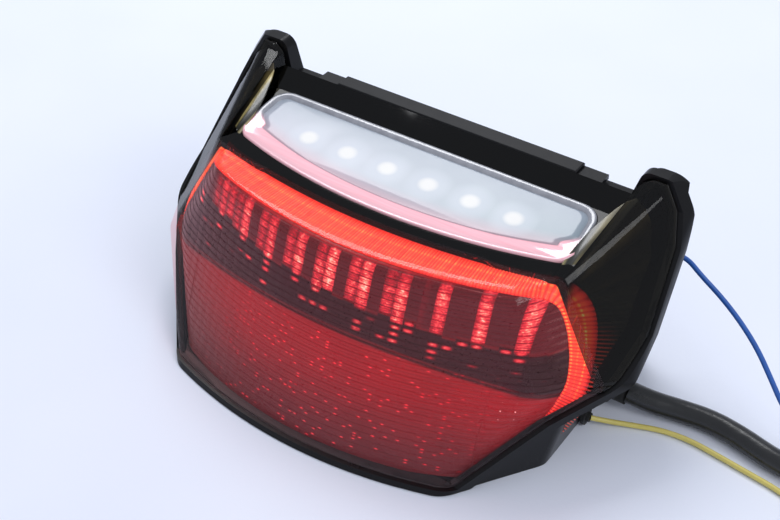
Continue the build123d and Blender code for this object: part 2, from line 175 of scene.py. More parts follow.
# Outline of the face on the layout plane: crowned top, right side down to the foot.
top_edge = [(x, 38.2 + 0.00155 * x * x) for x in (0, 20, 40, 56, 68, 76)]
right_edge = [
    (81.5, 48.9), (85.6, 47.0), (90.6, 38.5), (94.0, 29.5), (95.6, 21.0),
    (93.4, 12.0), (88.2, -1.0), (80.5, -13.5), (72.4, -24.0),
]
half_outline = top_edge + right_edge
outline = smooth_line([(-x, w) for x, w in reversed(half_outline[1:])] + half_outline)


def foot_line(x):
    """Lower edge of the face on the layout plane."""
    return -41.4 + 0.00262 * x * x


def broad(values, t):
    """Values for each column of a grid, repeated down its rows."""
    return np.broadcast_to(values, t.shape)


# ---------------------------------------------------------------- node materials
class Look:
    """A material and short names for the nodes that make its pattern."""

    def __init__(self, name):
        self.mat = bpy.data.materials.new(name)
        self.mat.use_nodes = True
        self.tree = self.mat.node_tree
        self.tree.nodes.clear()
        self.out = self.tree.nodes.new("ShaderNodeOutputMaterial")

    def node(self, kind, **values):
        n = self.tree.nodes.new("ShaderNode" + kind)
        for key, value in values.items():
            setattr(n, key, value)
        return n

    def put(self, socket, value):
        if isinstance(value, bpy.types.NodeSocket):
            self.tree.links.new(value, socket)
        elif isinstance(value, (tuple, list)) and len(value) == 3 and socket.type == "RGBA":
            socket.default_value = (*value, 1)
        else:
            socket.default_value = value

    def math(self, operation, a, b=0.0, c=0.0):
        n = self.node("Math", operation=operation)
        for socket, value in zip(n.inputs, (a, b, c)):
            self.put(socket, value)
        return n.outputs[0]

    def add(self, a, b): return self.math("ADD", a, b)
    def sub(self, a, b): return self.math("SUBTRACT", a, b)
    def mul(self, a, b): return self.math("MULTIPLY", a, b)
    def madd(self, a, b, c): return self.math("MULTIPLY_ADD", a, b, c)
    def low(self, a, b): return self.math("MINIMUM", a, b)
    def high(self, a, b): return self.math("MAXIMUM", a, b)

    def step(self, value, start, end, low=0.0, high=1.0):
        """Smooth rise of value from start to end, as a number from low to high."""
        n = self.node("MapRange", interpolation_type="SMOOTHSTEP")
        for socket, v in zip(n.inputs, (value, start, end, low, high)):
            self.put(socket, v)
        return n.outputs[0]

    def bump_at(self, value, centre, half):
        """1 at the centre, falling to 0 at half a width either side."""
        return self.step(self.math("ABSOLUTE", self.sub(value, centre)), 0.0, half, 1.0, 0.0)

    def attribute(self, name):
        return self.node("Attribute", attribute_name=name).outputs["Fac"]

    def vector(self, x, y, z=0.0):
        n = self.node("CombineXYZ")
        for socket, v in zip(n.inputs, (x, y, z)):
            self.put(socket, v)
        return n.outputs[0]

    def place(self):
        """x, y and z of the surface in millimetres, and the vector itself."""
        scaled = self.node("VectorMath", operation="SCALE")
        self.put(scaled.inputs[0], self.node("TexCoord").outputs["Object"])
        scaled.inputs["Scale"].default_value = 1000.0
        split = self.node("SeparateXYZ")
        self.put(split.inputs[0], scaled.outputs[0])
        return split.outputs[0], split.outputs[1], split.outputs[2], scaled.outputs[0]

    def noise(self, vector, scale, detail=3.0, rough=0.55):
        n = self.node("TexNoise")
        self.put(n.inputs["Vector"], vector)
        n.inputs["Scale"].default_value = scale
        n.inputs["Detail"].default_value = detail
        n.inputs["Roughness"].default_value = rough
        return n.outputs["Fac"]

    def cells(self, vector, scale):
        n = self.node("TexVoronoi")
        self.put(n.inputs["Vector"], vector)
        n.inputs["Scale"].default_value = scale
        return n.outputs["Distance"]

    def chance(self, vector):
        n = self.node("TexWhiteNoise")
        self.put(n.inputs["Vector"], vector)
        return n.outputs["Value"]

    def ramp(self, value, stops):
        n = self.node("ValToRGB")
        self.put(n.inputs[0], value)
        bar = n.color_ramp
        while len(bar.elements) < len(stops):
            bar.elements.new(0.5)
        for element, (at, colour) in zip(bar.elements, stops):
            element.position = at
            element.color = (*colour, 1)
        return n.outputs[0]

    def mix(self, share, a, b):
        n = self.node("Mix", data_type="RGBA")
        self.put(n.inputs["Factor"], share)
        self.put(n.inputs[6], a)
        self.put(n.inputs[7], b)
        return n.outputs[2]

    def bump(self, height, strength, distance):
        n = self.node("Bump")
        self.put(n.inputs["Height"], height)
        n.inputs["Strength"].default_value = strength
        n.inputs["Distance"].default_value = distance
        return n.outputs[0]

    def surface(self, **values):
        """A Principled shader from its sockets' values."""
        n = self.node("BsdfPrincipled")
        for key, value in values.items():
            self.put(n.inputs[key.replace("_", " ")], value)
        self.put(self.out.inputs[0], n.outputs[0])
        return n

    def clear_surface(self, tint, gloss_rough, gloss=0.35, least=0.02):
        """See-through plastic: what is behind it, tinted, under a glossy skin."""
        through = self.node("BsdfTransparent")
        self.put(through.inputs[0], tint)
        skin = self.node("BsdfGlossy")
        self.put(skin.inputs["Roughness"], gloss_rough)
        skin.inputs["Color"].default_value = (1, 1, 1, 1)
        facing = self.node("LayerWeight").outputs["Facing"]
        share = self.madd(self.math("POWER", facing, 5.0), gloss, least)
        front_side = self.sub(1.0, self.node("NewGeometry").outputs["Backfacing"])
        top = self.node("MixShader")
        self.put(top.inputs[0], self.mul(share, front_side))
        self.put(top.inputs[1], through.outputs[0])
        self.put(top.inputs[2], skin.outputs[0])
        self.put(self.out.inputs[0], top.outputs[0])



def plastic(name, dark, light, rough, grain=1.2, depth=0.03, metallic=0.0, coat=0.0, specular=0.5):
    """Moulded material: blotched colour, uneven gloss and a fine grain."""
    look = Look(name)
    p = look.place()[3]
    broad = look.noise(p, 0.045, 3)
    fine = look.noise(p, grain, 4, 0.6)
    colour = look.mix(look.madd(broad, 0.7, look.mul(fine, 0.3)), dark, light)
    roughness = look.madd(look.noise(p, 0.12, 4), 0.16, rough - 0.08)
    look.surface(
        Base_Color=colour,
        Roughness=roughness,
        Metallic=metallic,
        Specular_IOR_Level=specular,
        Coat_Weight=coat,
        Coat_Roughness=0.08,
        Normal=look.bump(fine, 0.5, depth * MM),
    )
    return look.mat


def use(name, material):
    """Gives a CAD node its material."""
    mesh = nodes[name].data
    mesh.materials.clear()
    mesh.materials.append(material)


# ---------------------------------------------------------------- camera
camera = bpy.data.objects.new("camera", bpy.data.cameras.new("camera"))
scene.collection.objects.link(camera)
camera.data.sensor_width = 36.0
camera.data.lens = 64.6
camera.data.clip_start = 0.02
right = Vector((0.826, 0.564, 0))
up = Vector((-0.355, 0.520, 0.776))
back = Vector((0.438, -0.641, 0.631))
turn = Matrix((right.normalized(), up.normalized(), back.normalized())).transposed()
camera.matrix_world = Matrix.Translation((0.2554, -0.3682, 0.4129)) @ turn.to_4x4()
scene.camera = camera

# ---------------------------------------------------------------- cords
SLEEVE_ROUTE = [
    (104, 27.5, 8.5), (112, 28.6, 6.9), (124, 32.4, 5.2), (138, 34.6, 4.9), (152, 32.6, 4.9),
    (166, 28.8, 4.9), (181, 27.5, 4.9), (195, 22, 4.9), (205, 11, 4.9), (209.5, -4, 4.9),
    (210.3, -20, 4.9), (210, -34, 4.9),
]
YELLOW_ROUTE = [
    (96.3, 9.5, 4), (102, 13, 2.4), (111, 17.6, 1.4), (122, 21.9, 1.3), (134, 23.3, 1.3),
    (147, 21.8, 1.3), (161, 19.9, 1.3), (174, 18.2, 1.3), (184, 14.6, 1.3), (191, 7.5, 1.3),
    (194, -3, 1.3), (194.6, -16, 1.8), (194.4, -28, 2.4),
]
BLUE_ROUTE = [
    (93, 61.6, 49), (93.6, 67.6, 48.8), (96.4, 73, 47.8), (102.5, 75.5, 46), (110.5, 72, 43.2),
    (122, 66.5, 41.2), (133.5, 60.5, 38),
    (144.5, 54, 33.5), (154, 46.6, 28.5), (163.5, 39.5, 22.5), (178, 34, 13.5), (193, 29.4, 5.5),
    (206, 21.5, 1.6), (215.5, 9, 1.3), (219, -6, 2.4),
]


def cord_curve(name, route, diameter, material):
    """A smooth tube whose control points are the route's points."""
    curve = bpy.data.curves.new(name, "CURVE")
    curve.dimensions = "3D"
    curve.bevel_depth = diameter / 2 * MM
    curve.bevel_resolution = 6
    curve.resolution_u = 24
    curve.use_fill_caps = True
    spline = curve.splines.new("NURBS")
    spline.points.add(len(route) - 1)
    for point, at in zip(spline.points, route):
        point.co = (*[v * MM for v in at], 1)
    spline.order_u = 3
    spline.use_endpoint_u = True
    curve.materials.append(material)
    piece = bpy.data.objects.new(name, curve)
    scene.collection.objects.link(piece)
    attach(piece, "root")
    return piece


def vinyl(name, dark, light, rough, wrinkle):
    """Soft tube: faint creases across it, uneven gloss."""
    look = Look(name)
    x, y, z, p = look.place()
    stretched = look.vector(look.mul(x, 0.25), look.mul(y, 0.5), look.mul(z, 0.5))
    crease = look.noise(stretched, 0.5, 4, 0.6)
    colour = look.mix(look.noise(p, 0.2, 3), dark, light)
    look.surface(
        Base_Color=colour,
        Roughness=look.madd(crease, 0.2, rough - 0.1),
        Coat_Weight=0.15,
        Coat_Roughness=0.2,
        Normal=look.bump(crease, 0.6, wrinkle * MM),
    )
    return look.mat


sleeve_look = vinyl("sleeve_vinyl", (0.004, 0.005, 0.006), (0.011, 0.012, 0.013), 0.3, 0.5)
yellow_look = vinyl("wire_yellow", (0.55, 0.46, 0.10), (0.70, 0.60, 0.17), 0.4, 0.08)
blue_look = vinyl("wire_blue", (0.012, 0.07, 0.30), (0.02, 0.11, 0.42), 0.4, 0.08)
sleeve = cord_curve("sleeve_tube", SLEEVE_ROUTE, 9.5, sleeve_look)
yellow = cord_curve("yellow_lead", YELLOW_ROUTE, 2.2, yellow_look)
blue = cord_curve("blue_lead", BLUE_ROUTE, 2.2, blue_look)
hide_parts("harness_sleeve")
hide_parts("yellow_wire")
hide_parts("blue_wire")

# ---------------------------------------------------------------- face optics
def face_material():
    """Lit columns behind rows of small optics, a dark belt, and a dull red lower half."""
    look = Look("face_optics")
    x = look.attribute("across")
    z = look.attribute("rise")
    row_at = look.mul(look.add(z, look.mul(look.mul(x, x), 0.00012)), 1 / ROW)
    cell_at = look.add(look.mul(x, 1 / CELL), look.madd(look.sub(76.0, z), -0.006, 0.5))
    column = look.math("FLOOR", cell_at)
    in_cell = look.math("FRACT", cell_at)
    row = look.math("FLOOR", row_at)
    in_row = look.math("FRACT", row_at)
    cell_id = look.vector(column, row)
    cell_chance = look.chance(cell_id)
    column_chance = look.chance(look.vector(column, 3.7))
    third = look.math("FLOORED_MODULO", column, 3.0)

    # how strongly each column is lit
    first = look.step(third, 0.4, 0.6, 1.0, 0.0)
    last = look.step(third, 1.4, 1.6)
    middle = look.sub(1.0, look.add(first, last))
    left_part = look.step(x, 34.0, 43.0, 1.0, 0.0)
    far_left = look.step(x, -50.0, -44.0, 1.0, 0.0)
    lit = look.add(first, look.mul(last, look.mul(left_part, look.madd(column_chance, 0.4, 0.45))))
    lit = look.add(lit, look.mul(middle, look.mul(far_left, 0.7)))
    lit = look.mul(lit, look.step(look.math("ABSOLUTE", look.add(x, -6.0)), 60.0, 84.0, 1.0, 0.85))
    lit = look.mul(lit, look.step(x, -72.0, -66.0))
    lit = look.mul(lit, look.step(x, -66.0, 0.0, 0.72, 1.0))

    # top and bottom of the lit part
    ragged = look.madd(look.chance(look.vector(column, 9.1)), 3.0, -1.5)
    foot = look.add(look.madd(x, -0.055, 60.2), ragged)
    in_lit = look.mul(look.step(look.sub(z, foot), -0.6, 0.8), look.step(z, 75.2, 75.9, 1.0, 0.0))

    # sparkle
    stretched = look.vector(look.mul(x, 0.55), z)
    spark = look.noise(stretched, 1.05, 5, 0.75)
    spark = look.math("POWER", look.step(spark, 0.36, 0.72), 1.7)
    middle_line = look.bump_at(in_cell, 0.5, 0.55)
    core = look.madd(middle_line, 0.6, 0.4)
    centre_row = look.bump_at(z, 66.0, 13.0)
    level = look.mul(look.madd(cell_chance, 0.38, 0.34), look.madd(spark, 0.95, 0.38))
    level = look.mul(level, look.madd(centre_row, 0.5, 0.62))
    level = look.mul(level, look.mul(core, lit))
    grooves = look.step(look.math("ABSOLUTE", look.sub(in_row, 0.5)), 0.34, 0.5, 1.0, 0.42)
    edges = look.step(look.math("ABSOLUTE", look.sub(in_cell, 0.5)), 0.44, 0.5, 1.0, 0.7)
    fine_rows = look.step(look.math("SINE", look.mul(z, 6.28318 / 0.87)), -1.0, 1.0, 0.72, 1.0)
    level = look.mul(look.mul(look.mul(level, 2.1), grooves), look.mul(fine_rows, edges))
    glow = look.mul(level, in_lit)

    # bright dashes below the lit part
    below = look.mul(look.step(look.sub(foot, z), -0.5, 0.5), look.step(z, 47.0, 49.0))
    fade = look.step(look.sub(foot, z), 0.0, 13.0, 1.0, 0.25)
    wanted = look.mul(look.madd(first, 0.5, 0.14), fade)
    dash_on = look.step(look.sub(wanted, look.chance(look.vector(row, column, 2.0))), -0.02, 0.02)
    dash = look.mul(look.bump_at(in_row, 0.5, 0.42), look.bump_at(in_cell, 0.5, 0.52))
    dash = look.mul(look.mul(dash, dash_on), look.mul(below, look.madd(spark, 0.5, 0.38)))
    glow = look.add(glow, look.mul(dash, 1.1))

    # small dashes on the lower half
    lower = look.step(z, 44.0, 46.5, 1.0, 0.0)
    small_cell = look.vector(look.math("FLOOR", look.mul(x, 0.4)), look.math("FLOOR", look.mul(z, 0.9)))
    small_on = look.step(look.chance(small_cell), 0.86, 0.9)
    small = look.mul(
        look.bump_at(look.math("FRACT", look.mul(z, 0.9)), 0.5, 0.35),
        look.bump_at(look.math("FRACT", look.mul(x, 0.4)), 0.5, 0.5),
    )
    reach = look.step(look.math("ABSOLUTE", look.sub(x, 14.0)), 24.0, 74.0, 1.0, 0.1)
    small = look.mul(look.mul(small, small_on), look.mul(lower, look.mul(reach, 0.5)))
    glow = look.add(glow, small)

    # pinpricks of white light near the right end
    pin_row = look.bump_at(look.math("FRACT", look.mul(z, 0.29)), 0.5, 0.12)
    pin_column = look.bump_at(look.math("FRACT", look.mul(x, 0.2)), 0.5, 0.07)
    pin_area = look.mul(look.bump_at(z, 32.5, 6.0), look.bump_at(x, 80.0, 7.0))
    pins = look.mul(look.mul(pin_row, pin_column), pin_area)
    pins = look.step(pins, 0.12, 0.3)

    colour = look.ramp(
        glow,
        [
            (0.0, (0.0, 0.0, 0.0)),
            (0.10, (0.16, 0.003, 0.008)),
            (0.28, (0.72, 0.018, 0.040)),
            (0.46, (1.0, 0.10, 0.11)),
            (0.66, (1.0, 0.36, 0.28)),
            (0.86, (1.0, 0.78, 0.46)),
            (1.0, (1.0, 0.95, 0.85)),
        ],
    )
    light = look.mix(pins, colour, (1.0, 0.9, 0.9))

    # colour of the unlit optics
    zone_line = look.madd(look.mul(x, x), -0.0011, 47.3)
    above_zone = look.step(look.sub(z, zone_line), 0.0, 1.5)
    belt = look.mul(above_zone, look.step(look.sub(z, foot), -1.0, 1.0, 1.0, 0.0))
    shade = look.noise(look.vector(look.mul(x, 0.5), z), 0.09, 3)
    lower_red = look.mix(look.step(z, 4.0, 40.0), (0.10, 0.004, 0.008), (0.34, 0.006, 0.012))
    lower_left = look.step(look.madd(z, 0.6, x), -74.0, -8.0, 1.0, 0.0)
    brown = look.mul(lower_left, look.step(z, 2.0, 60.0, 0.85, 0.5))
    lower_red = look.mix(brown, lower_red, (0.115, 0.040, 0.042))
    end_shade = look.mul(look.step(x, -84.0, -62.0, 1.0, 0.0), look.step(z, 30.0, 58.0))
    colours = look.mix(belt, lower_red, (0.030, 0.002, 0.006))
    colours = look.mix(in_lit, colours, (0.10, 0.006, 0.012))
    colours = look.mix(look.mul(end_shade, 0.85), colours, (0.060, 0.048, 0.062))
    dark_height = look.mul(look.step(z, 36.0, 41.0), look.step(z, 50.0, 55.0, 1.0, 0.0))
    right_dark = look.mul(look.step(x, 76.0, 84.0), dark_height)
    colours = look.mix(look.mul(right_dark, 0.8), colours, (0.012, 0.001, 0.003))
    dark_row = look.madd(look.bump_at(look.sub(z, zone_line), 0.0, 1.2), 0.88, 0.0)
    second = look.mul(look.bump_at(look.sub(z, zone_line), 3.6, 0.6), 0.55)
    third_line = look.mul(look.bump_at(look.sub(z, zone_line), 6.2, 0.6), 0.45)
    lines = look.low(look.add(dark_row, look.add(second, third_line)), 1.0)
    in_fine_row = look.math("FRACT", look.mul(z, 1 / FLUTE_PITCH))
    rows = look.step(look.math("ABSOLUTE", look.sub(in_fine_row, 0.5)), 0.2, 0.5, 1.0, 0.72)
    top_edge_dark = look.step(z, 75.6, 76.3)
    lines = look.high(lines, look.mul(top_edge_dark, 0.9))
    colours = look.mix(lines, colours, (0.012, 0.001, 0.003))
    shaded = look.mix(look.mul(rows, look.madd(shade, 0.6, 0.7)), (0, 0, 0), colours)
    glossy = look.noise(look.vector(x, z), 0.9, 3)
    shader = look.surface(
        Base_Color=shaded,
        Roughness=look.madd(glossy, 0.25, 0.18),
        Emission_Strength=1.0,
        Coat_Weight=0.2,
        Coat_Roughness=0.1,
    )
    dim = look.mix(0.42, (0, 0, 0), shaded)
    both = look.node("Mix", data_type="RGBA", blend_type="ADD")
    both.inputs[0].default_value = 1.0
    look.put(both.inputs[6], light)
    look.put(both.inputs[7], dim)
    dark_lines = look.mix(look.mul(lines, 0.85), both.outputs[2], (0.01, 0.0, 0.0))
    look.put(shader.inputs["Emission Color"], dark_lines)
    return look.mat


def face_piece():
    """The face's optics: rows of small wedges in pillowed columns, under the lens."""
    half_width = outline[:, 0].max() - 0.25
    xs = np.linspace(-half_width, half_width, 340)
    edge_x, edge_w = outline[:, 0], outline[:, 1]
    tops, feet = [], []
    for x in xs:
        crossed = []
        a, b = edge_x[:-1], edge_x[1:]
        hit = np.nonzero((a - x) * (b - x) <= 0)[0]
        for i in hit:
            if abs(b[i] - a[i]) > 1e-9:
                crossed.append(edge_w[i] + (edge_w[i + 1] - edge_w[i]) * (x - a[i]) / (b[i] - a[i]))
        foot = foot_line(x)
        if len(crossed) >= 2:
            foot = max(foot, min(crossed))
        tops.append(max(crossed))
        feet.append(min(foot, max(crossed) - 0.3))
    share = np.linspace(0, 1, 176)[:, None]
    w = np.array(feet) * (1 - share) + np.array(tops) * share
    x = np.broadcast_to(xs, w.shape)
    base = on_form(x, w, OPTIC_DEPTH + 0.5)
    out = form_normal(base)
    row_place = (base[..., 2] + 0.00012 * x**2) / ROW
    cell_place = x / CELL + 0.5
    in_row = row_place - np.floor(row_place)
    in_cell = cell_place - np.floor(cell_place)
    lift = 0.34 * (in_row - 0.5) - 0.5 * (in_cell - 0.5) ** 2
    top = base + out * lift[..., None]
    piece = sheet_solid(
        "face_optics", top, out * 1.0, {"across": x, "rise": base[..., 2]}, smooth=False
    )
    piece.data.materials.append(face_material())
    return piece


face_piece()


# ---------------------------------------------------------------- edge band
def band_width(x, w):
    """Width of the fluted band beside each point of the face's outline."""
    top = 12.6 - 0.00045 * x**2
    side = np.interp(w, [-40, -20, 0, 22, 36, 44, 50], [2.2, 2.6, 3.8, 5.6, 7.8, 9.4, 10.5])
    turned = np.clip((np.abs(x) - 76) / 8, 0, 1)
    return top * (1 - turned) + side * turned


def strip(line, reach_start, reach_end, steps, depth):
    """Points beside the outline, from reach_start to reach_end out from it, and their places."""
    along = np.gradient(line, axis=0)
    along /= np.linalg.norm(along, axis=1, keepdims=True)
    outward = np.stack([-along[:, 1], along[:, 0]], 1)
    share = np.linspace(0, 1, steps)[:, None]
    t = reach_start * (1 - share) + reach_end * share
    x = line[:, 0] + outward[:, 0] * t
    w = line[:, 1] + outward[:, 1] * t
    return on_form(x, w, depth), t


def band_material():
    """Edge-lit flutes with two dotted rows of brighter light."""
    look = Look("band_optics")
    s, t, x = look.attribute("along"), look.attribute("out"), look.attribute("across")
    wide = look.attribute("width")
    share = look.math("DIVIDE", t, wide)
    flute = look.math("FRACT", look.mul(s, 1 / FLUTE_PITCH))
    number = look.math("FLOOR", look.mul(s, 1 / FLUTE_PITCH))
    own = look.chance(look.vector(number, 1.0))
    crest = look.step(look.math("ABSOLUTE", look.sub(flute, 0.5)), 0.12, 0.5, 1.0, 0.0)
    drift = look.noise(look.vector(look.mul(s, 0.05), 0.5), 1.0, 2)
    level = look.madd(crest, 0.16, 0.40)
    level = look.add(level, look.madd(own, 0.06, look.madd(drift, 0.10, -0.05)))
    first_at = look.add(0.60, look.madd(drift, 0.12, -0.06))
    second_at = look.add(0.34, look.madd(drift, -0.25, 0.12))
    side = look.step(look.math("ABSOLUTE", x), 79.0, 86.0)
    row_one = look.bump_at(share, first_at, 0.07)
    row_two = look.bump_at(share, second_at, 0.05)
    dot_rows = look.add(row_one, look.mul(row_two, 0.55))
    dots = look.mul(dot_rows, look.mul(crest, look.madd(own, 0.6, 0.4)))
    level = look.add(level, look.mul(dots, look.madd(side, 0.2, 0.26)))
    streak = look.noise(look.vector(look.mul(s, 0.9), look.mul(t, 0.12)), 1.0, 3)
    level = look.add(level, look.madd(streak, 0.2, -0.1))
    outer_fade = look.step(share, 0.72, 1.02, 1.0, 0.42)
    inner_fade = look.step(share, 0.0, 0.10, 0.72, 1.0)
    level = look.mul(level, look.mul(outer_fade, inner_fade))
    down = look.attribute("down")
    level = look.mul(level, look.step(down, 10.0, 60.0, 1.0, 0.35))
    edge_dots = look.mul(look.mul(look.bump_at(share, 0.04, 0.09), side), look.mul(crest, 0.35))
    level = look.add(level, look.mul(edge_dots, look.step(down, 30.0, 70.0, 1.0, 0.1)))
    colour = look.ramp(
        level,
        [
            (0.0, (0.02, 0.0, 0.002)),
            (0.16, (0.20, 0.006, 0.010)),
            (0.34, (0.80, 0.030, 0.028)),
            (0.52, (1.0, 0.075, 0.045)),
            (0.68, (1.0, 0.22, 0.06)),
            (0.86, (1.0, 0.55, 0.12)),
            (1.0, (1.0, 0.85, 0.40)),
        ],
    )
    look.surface(
        Base_Color=look.mix(crest, (0.10, 0.004, 0.006), (0.30, 0.02, 0.02)),
        Roughness=look.madd(own, 0.1, 0.22),
        Emission_Color=colour,
        Emission_Strength=1.0,
    )
    return look.mat


spine, spine_s = even_line(outline, FLUTE_PITCH / 6)
spine_s = spine_s - spine_s[np.argmin(np.abs(spine[:, 0]))]
reach = band_width(spine[:, 0], spine[:, 1])


def band_piece():
    points, t = strip(spine, 0.0 * reach, reach, 18, OPTIC_DEPTH)
    above = np.flatnonzero(points[..., 2].min(axis=0) > 4.0)
    kept = slice(above[0], above[-1] + 1)
    points, t = points[:, kept], t[:, kept]
    line, width = spine[kept], reach[kept]
    out = form_normal(points)
    place = spine_s[kept] / FLUTE_PITCH
    crest = np.abs(place - np.floor(place) - 0.5) * 2
    lift = -0.32 * crest**1.5
    points = points + out * lift[None, :, None]
    down = np.where(np.abs(line[:, 0]) > 80, np.maximum(0, 50 - line[:, 1]), 0)
    piece = sheet_solid(
        "band_optics", points, out * 0.8,
        {
            "along": broad(spine_s[kept], t), "out": t, "across": points[..., 0],
            "width": broad(width, t), "down": broad(down, t),
        },
    )
    piece.data.materials.append(band_material())


band_piece()


# ---------------------------------------------------------------- smoked side panels
def parting_margin(p):
    """How far a point is on the lens's side of the parting line, seen from the side."""
    y, z = p[..., 1], p[..., 2]
    nearest = np.full(y.shape, 1e9)
    for (ay, az), (by, bz) in zip(PARTING, PARTING[1:]):
        run = np.hypot(by - ay, bz - az)
        share = np.clip(((y - ay) * (by - ay) + (z - az) * (bz - az)) / run**2, 0, 1)
        gap = np.hypot(y - ay - share * (by - ay), z - az - share * (bz - az))
        nearest = np.minimum(nearest, gap)
    line_z = np.interp(y, [a for a, _ in PARTING], [b for _, b in PARTING])
    return np.where(z > line_z, nearest, -nearest)


def side_material():
    """Smoked flutes, with painted gold highlights where light catches their crests near the ridge."""
    look = Look("side_flutes")
    s, t = look.attribute("along"), look.attribute("out")
    flute = look.math("FRACT", look.mul(s, 1 / FLUTE_PITCH))
    number = look.math("FLOOR", look.mul(s, 1 / FLUTE_PITCH))
    own = look.chance(look.vector(number, 4.0))
    crest = look.step(look.math("ABSOLUTE", look.sub(flute, 0.5)), 0.05, 0.3, 1.0, 0.0)
    bevel = look.attribute("ridge")
    # painted highlight: gold glints on the flute crests, strongest near the ridge, put into the base
    # colour
    gold_glint = look.mul(look.mul(crest, look.madd(own, 0.8, 0.2)), look.madd(bevel, 0.9, 0.05))
    stretched = look.vector(look.mul(s, 0.8), look.mul(t, 0.1))
    breaks = look.step(look.noise(stretched, 1.0, 2), 0.35, 0.65, 0.35, 1.0)
    gold_glint = look.mul(gold_glint, breaks)
    near = look.step(look.attribute("beyond"), 0.0, 7.0, 1.0, 0.0)
    glow = look.mul(look.mul(near, crest), look.step(look.attribute("down"), 6.0, 16.0))
    base = look.mix(gold_glint, (0.020, 0.020, 0.014), (0.95, 0.76, 0.30))
    look.surface(
        Base_Color=base,
        Roughness=0.26,
        Emission_Color=look.mix(look.mul(glow, 0.8), (0.0, 0.0, 0.0), (0.55, 0.03, 0.015)),
        Emission_Strength=1.0,
        Coat_Weight=0.3,
        Coat_Roughness=0.1,
    )
    return look.mat


side_look = side_material()


def side_piece(hand, name):
    chosen = (spine[:, 0] * hand > 79.0) & (spine[:, 1] > 2.0)
    line, s, start = spine[chosen], spine_s[chosen], reach[chosen] + 0.15
    points, t = strip(line, start, start + PANEL_REACH, PANEL_STEPS, OPTIC_DEPTH)
    margin = parting_margin(points)
    ok = (margin > 4.5) & (np.abs(points[..., 0]) > 80.0)
    last = np.argmin(ok, axis=0)
    last = np.where(ok.all(axis=0), len(t) - 1, np.maximum(last - 1, 1))
    end = t[last, np.arange(len(s))]
    kernel = np.ones(9) / 9
    end = np.convolve(np.pad(end, 4, mode="edge"), kernel, mode="valid")
    points, t = strip(line, start, np.maximum(end, start + 0.4), PANEL_STEPS, OPTIC_DEPTH)
    out = form_normal(points)
    place = s / FLUTE_PITCH
    crest = np.abs(place - np.floor(place) - 0.5) * 2
    points = points + out * (-0.34 * crest**1.5)[None, :, None]
    shoulder = (DECK + np.maximum(0, points[..., 1] - 1) * SHOULDER_SLOPE) - points[..., 2]
    ridge = np.clip(1 - (shoulder - 1.5) / 8, 0, 1)
    down = np.maximum(0, 50 - line[:, 1])
    piece = sheet_solid(
        name, points, out * 0.8,
        {
            "along": broad(s, t), "out": t, "beyond": t - broad(start, t),
            "ridge": ridge, "down": broad(down, t),
        },
    )
    piece.data.materials.append(side_look)


side_piece(1, "side_flutes_right")
side_piece(-1, "side_flutes_left")


# ---------------------------------------------------------------- licence plate window
WINDOW_HALF = 81.5                                # half length at its front corners
WINDOW_BOW = 14.0                                 # its front edge bows forward by this much
WINDOW_FRONT, WINDOW_BACK = 8.0, 38.0             # its front corners and back edge
WINDOW_CORNER = 8                                 # radius of its corners
STRIP_FOOT, STRIP_SLOPE = 78.3, 0.1767            # height and rise of the strip round it
WINDOW_ARC = (WINDOW_HALF**2 + WINDOW_BOW**2) / (2 * WINDOW_BOW)


def window_form(x, y):
    """Signed distance from the window's rounded outline, negative inside."""
    front = np.hypot(x, y - (WINDOW_FRONT - WINDOW_BOW + WINDOW_ARC)) - WINDOW_ARC
    front = np.where(y < 20, front, -50)
    lean = 2.5 / 30.0
    side = (np.abs(x) - (WINDOW_HALF - lean * (y - WINDOW_FRONT))) / math.hypot(1, lean)
    rear = y - WINDOW_BACK
    d = np.stack([front, side, rear])
    near = np.maximum(d + WINDOW_CORNER, 0)
    rounded = np.sqrt((near**2).sum(0)) - WINDOW_CORNER
    return np.where(near.max(0) > 0, rounded, d.max(0))


def window_ring(inset, count=360):
    """Points of the window's outline moved inward by inset, a number or one for each point."""
    a = np.linspace(0, 2 * math.pi, count, endpoint=False)
    direction = np.stack([np.cos(a) * 80, np.sin(a) * 20], 1)
    low, high = np.zeros(count), np.full(count, 1.6)
    for _ in range(40):
        reach_out = (low + high) / 2
        f = window_form(direction[:, 0] * reach_out, 17 + direction[:, 1] * reach_out)
        inside = f < -np.asarray(inset)
        low, high = np.where(inside, reach_out, low), np.where(inside, high, reach_out)
    return np.stack([direction[:, 0] * reach_out, 17 + direction[:, 1] * reach_out], 1)


def strip_height(y):
    """Height of the strip that the window sits in."""
    return STRIP_FOOT + np.maximum(0, y - WINDOW_FRONT) * STRIP_SLOPE


